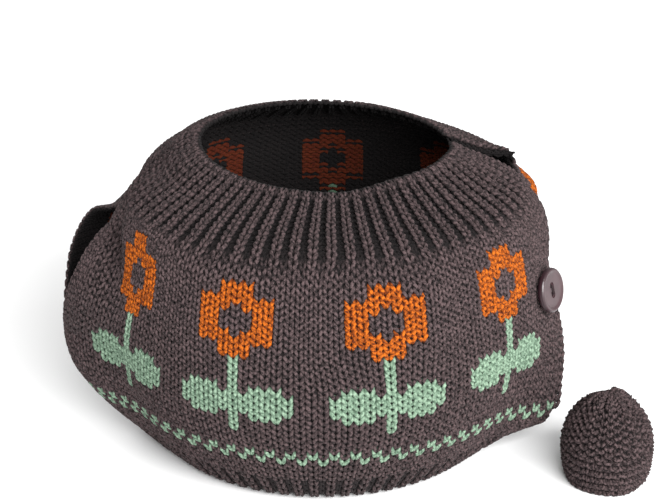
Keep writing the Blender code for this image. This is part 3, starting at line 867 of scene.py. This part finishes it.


def wool(name, light, dark, sheen_tint):
    """Woollen yarn: two plies laid round each other, flecked with lighter and darker fibres, and
    painted darker as shade between its plies and deep in the knit.
    """
    made, tree, shader = material(name + "_wool")
    spot = tree.add("ShaderNodeTexCoord").out("Object")

    def noise(scale, detail=2.0):
        values = {"Vector": spot, "Scale": scale, "Detail": detail}
        return tree.add("ShaderNodeTexNoise", {}, values)

    def attribute(label):
        return tree.add("ShaderNodeAttribute", {"attribute_name": label}).out("Fac")

    twist = attribute("along") * (math.tau / (PLY_TWIST * MM))
    strand = twist.sin() * attribute("around_cos") + twist.cos() * attribute("around_sin")
    # The grooves between the plies give the bump, and their darker tone is painted shade
    groove = (strand * 0.5 + 0.5).ramp(0.0, 0.5)
    fleck = noise(1100.0).ramp(0.42, 0.6)
    cloud = noise(160.0, 3.0).ramp(0.3, 0.7)
    # Painted shade: the tone darkens deep in the knit, down to the deepest tone
    bared = attribute("bared").ramp(0.2, 0.95) * (1 - DEEPEST_TONE) + DEEPEST_TONE
    tone = (fleck * 0.6 + cloud * 0.1 + groove * 0.3) * bared
    tree.links.new(tree.mix(tone, dark, light).socket, shader.inputs["Base Color"])
    relief = groove * 0.5 + noise(2600.0, 3.0) * 0.5
    bump = {"Strength": 0.8, "Distance": 0.3 * MM, "Height": relief}
    tree.links.new(tree.add("ShaderNodeBump", {}, bump).socket, shader.inputs["Normal"])
    set_sockets(
        shader,
        {
            "Roughness": 0.9,
            "Specular IOR Level": 0.2,
            "Sheen Weight": 0.02,
            "Sheen Roughness": 0.5,
            "Sheen Tint": sheen_tint,
        },
    )
    return made


WOOLS = (
    # name, light tone, dark tone that the flecks and the painted shade darken towards, sheen
    ("charcoal", (0.081, 0.0545, 0.0555, 1), (0.0014, 0.0010, 0.0011, 1), (0.7, 0.65, 0.66, 1)),
    ("orange", (0.43, 0.098, 0.0045, 1), (0.045, 0.005, 0.001, 1), (1.0, 0.6, 0.3, 1)),
    ("green", (0.222, 0.316, 0.228, 1), (0.055, 0.095, 0.063, 1), (0.8, 1.0, 0.85, 1)),
    # The last tone is no yarn of the cosy: near-black, for the sheets inside the knit painted as
    # the shade seen through the gaps between stitches
    ("gap_shade", (0.010, 0.0065, 0.007, 1), (0.003, 0.002, 0.0022, 1), (0.5, 0.45, 0.46, 1)),
)
CHARCOAL, ORANGE, GREEN, GAP_SHADE = (wool(*line) for line in WOOLS)
YARNS = {"C": CHARCOAL, "O": ORANGE, "G": GREEN}
knitting = knit_tree()

BUTTON_TONES = ((0.042, 0.022, 0.025, 1), (0.058, 0.032, 0.036, 1))
BUTTON_SIDE_TONE = (0.020, 0.007, 0.010, 1)
BUTTON_SIDE_START, BUTTON_SIDE_END = 7.2, 8.1  # from the button's middle
THREAD_TONES = ((0.006, 0.003, 0.004, 1), (0.030, 0.018, 0.020, 1))


def button_plastic(disc):
    """Plum plastic, faintly clouded, and darker on its side."""
    made, tree, shader = material("button_plastic")
    points = np.array([vertex.co for vertex in disc.data.vertices])
    middle = points.mean(axis=0)
    axis = np.linalg.svd(points - middle)[2][2]  # the direction in which it is thinnest
    middle, axis = [float(v) for v in middle], [float(v) for v in axis]
    spot = tree.add("ShaderNodeTexCoord").out("Object")
    off = tree.vector_maths("SUBTRACT", spot, middle)
    along = tree.vector_maths("DOT_PRODUCT", off, axis).out("Value")
    away = tree.vector_maths("SUBTRACT", off, tree.scaled(axis, along))
    away = tree.vector_maths("LENGTH", away).out("Value")
    cloud = tree.add("ShaderNodeTexNoise", {}, {"Vector": spot, "Scale": 260.0, "Detail": 3.0})
    side = away.ramp(BUTTON_SIDE_START * MM, BUTTON_SIDE_END * MM)
    tone = tree.mix(cloud.ramp(0.3, 0.7), *BUTTON_TONES)
    tone = tree.mix(side, tone, BUTTON_SIDE_TONE)
    tree.links.new(tone.socket, shader.inputs["Base Color"])
    tree.links.new((cloud * 0.15 + 0.27).socket, shader.inputs["Roughness"])
    set_sockets(shader, {"Specular IOR Level": 0.5})
    return made


def sewing_thread():
    """Dark thread, with its strands as streaks."""
    made, tree, shader = material("sewing_thread")
    spot = tree.add("ShaderNodeTexCoord").out("Object")
    strands = tree.add("ShaderNodeTexNoise", {}, {"Vector": spot, "Scale": 3000.0, "Detail": 2.0})
    tone = tree.mix(strands.ramp(0.35, 0.65), *THREAD_TONES)
    tree.links.new(tone.socket, shader.inputs["Base Color"])
    set_sockets(shader, {"Roughness": 0.8, "Specular IOR Level": 0.2})
    return made


# The panels

BODY_SPLIT_ROW = 28
PARTS = (
    # name, yarn, first row, row after the last
    ("neck_rib", "C", 0, NECK_RIB_ROWS),
    ("upper_body", "C", NECK_RIB_ROWS, BODY_SPLIT_ROW),
    ("lower_body", "C", BODY_SPLIT_ROW, HEM_RIB_ROW),
    ("hem_rib", "C", HEM_RIB_ROW, ROWS),
    ("flowers", "O", FLOWER_ROW, FLOWER_ROW + len(FLOWER)),
    ("leaves", "G", STEM_ROW, STEM_ROW + STEM_ROWS),
    ("zigzag", "G", ZIGZAG_ROW, ZIGZAG_ROW + 2),
)
# The sheet of painted shade inside each panel: its columns and rows
SHADE_SHEET_COLUMNS, SHADE_SHEET_ROWS = 89, 61
SHADE_SHEET_INSET = 0.15  # stitches and rows that it stops short of the panel's edges
SHADE_SHEET_RIB_DEPTH = 1.9
SHADE_SHEET_THICKNESS, SHADE_SHEET_HEIGHT = 0.4, 0.4  # the shade sheet's thickness, and how far it stays above the floor


def shade_sheet(name, points, faces):
    """A thin near-black sheet inside the knit, painted as the shade seen through the gaps between
    stitches.
    """
    mesh = bpy.data.meshes.new(name)
    mesh.from_pydata([in_frame(point) for point in points], [], faces)
    mesh.materials.append(GAP_SHADE)
    mesh.shade_smooth()
    made = placed(name, mesh)
    thicken = made.modifiers.new("thicken", "SOLIDIFY")
    thicken.thickness = SHADE_SHEET_THICKNESS * MM
    thicken.offset = 0.0
    return made


def panel_shade_sheet(name, side):
    """A sheet of painted shade inside a panel, between its front and its back, sunk deeper under
    the rib's furrows.
    """
    points, faces = [], []
    for row in np.linspace(SHADE_SHEET_INSET, ROWS - SHADE_SHEET_INSET, SHADE_SHEET_ROWS):
        last = last_stitch(side, row)
        for stitch in np.linspace(SHADE_SHEET_INSET, last - SHADE_SHEET_INSET, SHADE_SHEET_COLUMNS):
            furrow = 0.5 - 0.5 * math.cos(math.pi * (stitch - 0.5))
            sink = CLOTH / 2 + ribbing(int(row)) * SHADE_SHEET_RIB_DEPTH * furrow
            place = cloth_place(side, stitch, row) - cloth_normal(side, stitch, row) * sink
            place.z = max(place.z, SHADE_SHEET_HEIGHT)
            points.append(place)
    for i in range(SHADE_SHEET_ROWS - 1):
        for j in range(SHADE_SHEET_COLUMNS - 1):
            a = i * SHADE_SHEET_COLUMNS + j
            corners = (a, a + SHADE_SHEET_COLUMNS, a + SHADE_SHEET_COLUMNS + 1, a + 1)
            faces.append(corners if side == FRONT else corners[::-1])
    return shade_sheet(name, points, faces)


def panel(name, node, side):
    """Knits a panel in the place of its solid."""
    cloth = panel_map(name + "_map", side)
    # a near-black sheet, painted as shade between the stitches
    gap_shade = panel_shade_sheet(name + "_ground", side)
    parts = []
    for label, yarn, first_row, end_row in PARTS:
        chart = chart_mesh(label, runs_of(side, yarn, first_row, end_row))
        radius = YARN_RADIUS if yarn == "C" else MOTIF_RADIUS
        values = {"Cloth": cloth, "Wool": YARNS[yarn], "Yarn Radius": radius * MM}
        parts.append(grown(f"{name}_{label}", chart, knitting, values))
    bpy.data.objects.remove(cloth)
    for piece in [gap_shade, *parts]:
        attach(piece, "root")
    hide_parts(node)


# The cap for the lid's knob: a dome in garter stitch, then moss stitch, with a gathered crown

CAP_PLACE = Vector((98.7, -55.6, 0.0))
CAP_PROFILE = (
    # height, radius, how far the gathers draw it in
    (0.0, 15.2, 0.0),
    (4.0, 16.4, 0.0),
    (10.0, 17.1, 0.0),
    (16.0, 17.2, 0.0),
    (22.0, 16.0, 0.15),
    (27.0, 13.4, 0.5),
    (31.0, 9.9, 0.9),
    (34.0, 6.2, 1.1),
    (35.6, 3.0, 0.8),
)
CAP_CROWN = 34.6  # the height of the crown's middle
CAP_GATHERS = 9
CAP_STITCHES, CAP_ROWS = 30, 32
CAP_GATHERED_ROWS, CAP_GARTER_ROW = 7, 22  # the crown's rows, and where the moss stitch ends
CAP_LEAST_GIRTH = 0.3
CAP_RIM_STEP = 1.5  # the height of a row below the rim
# Waves round the cap, each by its size, how many go round, and where it starts
CAP_LUMP, CAP_RIM_LUMP = (0.35, 3, 0.6), (0.3, 5, 2.0)
CAP_RIM_LUMP_HEIGHT = 20  # where the rim's lumps have run out
CAP_PURSES = ((1.0, 2, 0.5), (0.8, 3, -1.0))  # up and down, in the crown
CAP_PURSE_RADIUS = 14  # where they have run out
CAP_CORE = 6  # the radius inside which the waves are smoothed away
CAP_YARN = {
    "Loop Depth": 1.3 * MM,
    "Loop Height": 1.9,
    "Unevenness": 0.26,
    "Yarn Radius": 0.6 * MM,
}
# The sheet of painted shade inside the cap: how far in it lies, and its rows
CAP_SHADE_DEPTH, CAP_SHADE_ROWS = 2.0, 34
CAP_SHADE_TOP, CAP_SHADE_FOOT = 0.6, 0.2  # rows that it stops short of the crown and the rim
CAP_OUTLINE_STEPS = 120


def cap_outline():
    """The cap's outline from its crown to its rim: lengths along it, radii and heights."""
    heights = np.linspace(CAP_PROFILE[-1][0], 0.0, CAP_OUTLINE_STEPS)
    spots = [(0.0, CAP_CROWN)] + [(read(CAP_PROFILE, 1, h), h) for h in heights]
    steps = [math.dist(a, b) for a, b in zip(spots, spots[1:])]
    return np.concatenate([[0.0], np.cumsum(steps)]), *np.transpose(spots)


CAP_LENGTHS, CAP_RADII, CAP_HEIGHTS = cap_outline()


def wave(turn, size, count, start):
    """How far a wave stands out at a turn round the cap."""
    return size * math.sin(count * turn + start)


def cap_place(stitch, row):
    """A place on the cap's right side."""
    turn = math.tau * stitch / CAP_STITCHES
    at = CAP_LENGTHS[-1] * clamp(row / CAP_ROWS, 0.0, 1.0)
    radius = np.interp(at, CAP_LENGTHS, CAP_RADII)
    height = np.interp(at, CAP_LENGTHS, CAP_HEIGHTS)
    lobe = read(CAP_PROFILE, 2, height) * min(radius / CAP_PROFILE[-1][1], 1.0)
    radius -= lobe * (0.5 + 0.5 * math.cos(CAP_GATHERS * turn))
    low = fade(height, 0.0, CAP_RIM_LUMP_HEIGHT)
    lump = wave(turn, *CAP_LUMP) + wave(turn, *CAP_RIM_LUMP) * low
    radius += lump * ease(radius / CAP_CORE)
    height -= max(row - CAP_ROWS, 0.0) * CAP_RIM_STEP
    pursed = fade(radius, 0.0, CAP_PURSE_RADIUS) * ease(radius / CAP_CORE)
    height += pursed * sum(wave(turn, *purse) for purse in CAP_PURSES)
    return CAP_PLACE + Vector((radius * math.cos(turn), radius * math.sin(turn), max(height, 0.0)))


def cap_facing(stitch, row):
    """The way the cap's right side faces."""
    row = clamp(row, FACING_STEP, CAP_ROWS - FACING_STEP)
    across = cap_place(stitch + FACING_STEP, row) - cap_place(stitch - FACING_STEP, row)
    down = cap_place(stitch, row + FACING_STEP) - cap_place(stitch, row - FACING_STEP)
    return down.cross(across).normalized()


def cap_map(name):
    """The map of the cap."""
    columns = np.linspace(-1.0, CAP_STITCHES + 1.0, 4 * (CAP_STITCHES + 2) + 1)
    rows = np.arange(-1.0, CAP_ROWS + 1.5, 0.5)
    return cloth_map(name, cap_place, cap_facing, CAP_LEAST_GIRTH, lambda row: columns, rows)


def cap_runs():
    """The cap's rows: big gathered stitches at the crown, then moss stitch, then garter stitch."""
    runs = []
    for row in range(CAP_ROWS):
        middle = row + 0.5
        if row < CAP_GATHERED_ROWS:
            runs.append(run_of(0, middle, CAP_STITCHES // 2, face=1.0, stitch_width=2.0))
        elif row < CAP_GARTER_ROW:
            runs.append(run_of(0, middle, CAP_STITCHES, moss=1.0, shift=row % 2))
        else:
            runs.append(run_of(0, middle, CAP_STITCHES, face=1.0 if row % 2 else -1.0))
    return runs


def cap_lining(name):
    """The sheet of painted shade inside the cap's knit."""
    points, faces = [], []
    wide = CAP_STITCHES * 2
    for row in np.linspace(CAP_SHADE_TOP, CAP_ROWS - CAP_SHADE_FOOT, CAP_SHADE_ROWS):
        for stitch in np.arange(wide) / 2:
            points.append(cap_place(stitch, row) - cap_facing(stitch, row) * CAP_SHADE_DEPTH)
    for i in range(CAP_SHADE_ROWS - 1):
        for j in range(wide):
            k = (j + 1) % wide
            faces.append((i * wide + j, (i + 1) * wide + j, (i + 1) * wide + k, i * wide + k))
    faces.append(tuple(range(wide)))
    return shade_sheet(name, points, faces)


def cap():
    """Knits the cap in the place of its solid."""
    cloth = cap_map("cap_map")
    chart = chart_mesh("cap_chart", cap_runs())
    values = {"Cloth": cloth, "Wool": CHARCOAL, **CAP_YARN}
    knit = grown("cap_knit", chart, knitting, values)
    bpy.data.objects.remove(cloth)
    cap_shade = cap_lining("cap_lining")
    for piece in (knit, cap_shade):
        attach(piece, "root")
    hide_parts("knob_cover")


panel("front", "front_panel", FRONT)
panel("back", "back_panel", BACK)
cap()
disc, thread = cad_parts["button"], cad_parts["button_thread"]
disc.material_slots[0].material = button_plastic(disc)
thread.material_slots[0].material = sewing_thread()


# Stage: its places and sizes are metres, as is the lights' aim

CAMERA_TURN, CAMERA_PITCH = math.radians(-6.0), math.radians(22.7)
CAMERA_AWAY, CAMERA_UP = 700.0, 245.0  # millimetres from the axis and above the cast-on plane
FRAME_WIDTH, FOCAL, MIDDLE = 657, 2020.0, 323.0  # pixels
FLOOR_HALF = 3.0
LIGHTS_AIM = Vector((0, 0, 0.06))
LIGHTS = (
    # name, place, size, power
    ("key", (0.45, -1.35, 0.85), (1.4, 0.8), 62),
    ("back", (-0.7, 1.3, 0.9), (1.2, 0.7), 9),
)
SKY = 0.6  # the strength of the light from all round


def make_camera():
    lens = bpy.data.cameras.new("camera")
    lens.sensor_width = 36.0
    lens.lens = lens.sensor_width * FOCAL / FRAME_WIDTH
    lens.shift_x = (FRAME_WIDTH / 2 - MIDDLE) / FRAME_WIDTH
    camera = placed("camera", lens)
    away = Vector((math.sin(CAMERA_TURN), -math.cos(CAMERA_TURN), 0)) * CAMERA_AWAY
    camera.location = in_frame(away + Vector((0, 0, STAND + CAMERA_UP)))
    camera.rotation_euler = (math.pi / 2 - CAMERA_PITCH, 0, CAMERA_TURN)
    bpy.context.scene.camera = camera


def make_floor():
    mesh = bpy.data.meshes.new("floor")
    half = FLOOR_HALF
    corners = [(-half, -half, 0), (half, -half, 0), (half, half, 0), (-half, half, 0)]
    mesh.from_pydata(corners, [], [(0, 1, 2, 3)])
    made, _, shader = material("floor_paper")
    paper = {"Base Color": (0.94, 0.94, 0.94, 1), "Roughness": 0.9, "Specular IOR Level": 0.1}
    set_sockets(shader, paper)
    mesh.materials.append(made)
    floor = placed("floor", mesh)


def make_light(name, place, size, power):
    lamp = bpy.data.lights.new(name, "AREA")
    lamp.shape = "RECTANGLE"
    lamp.size, lamp.size_y = size
    lamp.energy = power
    light = placed(name, lamp)
    light.location = place
    light.rotation_euler = (LIGHTS_AIM - light.location).to_track_quat("-Z", "Y").to_euler()


make_camera()
make_floor()
for line in LIGHTS:
    make_light(*line)
world = bpy.data.worlds.new("studio")
bpy.context.scene.world = world
world.use_nodes = True
set_sockets(world.node_tree.nodes["Background"], {"Color": (1, 1, 1, 1), "Strength": SKY})
bpy.context.scene.view_settings.view_transform = "Standard"
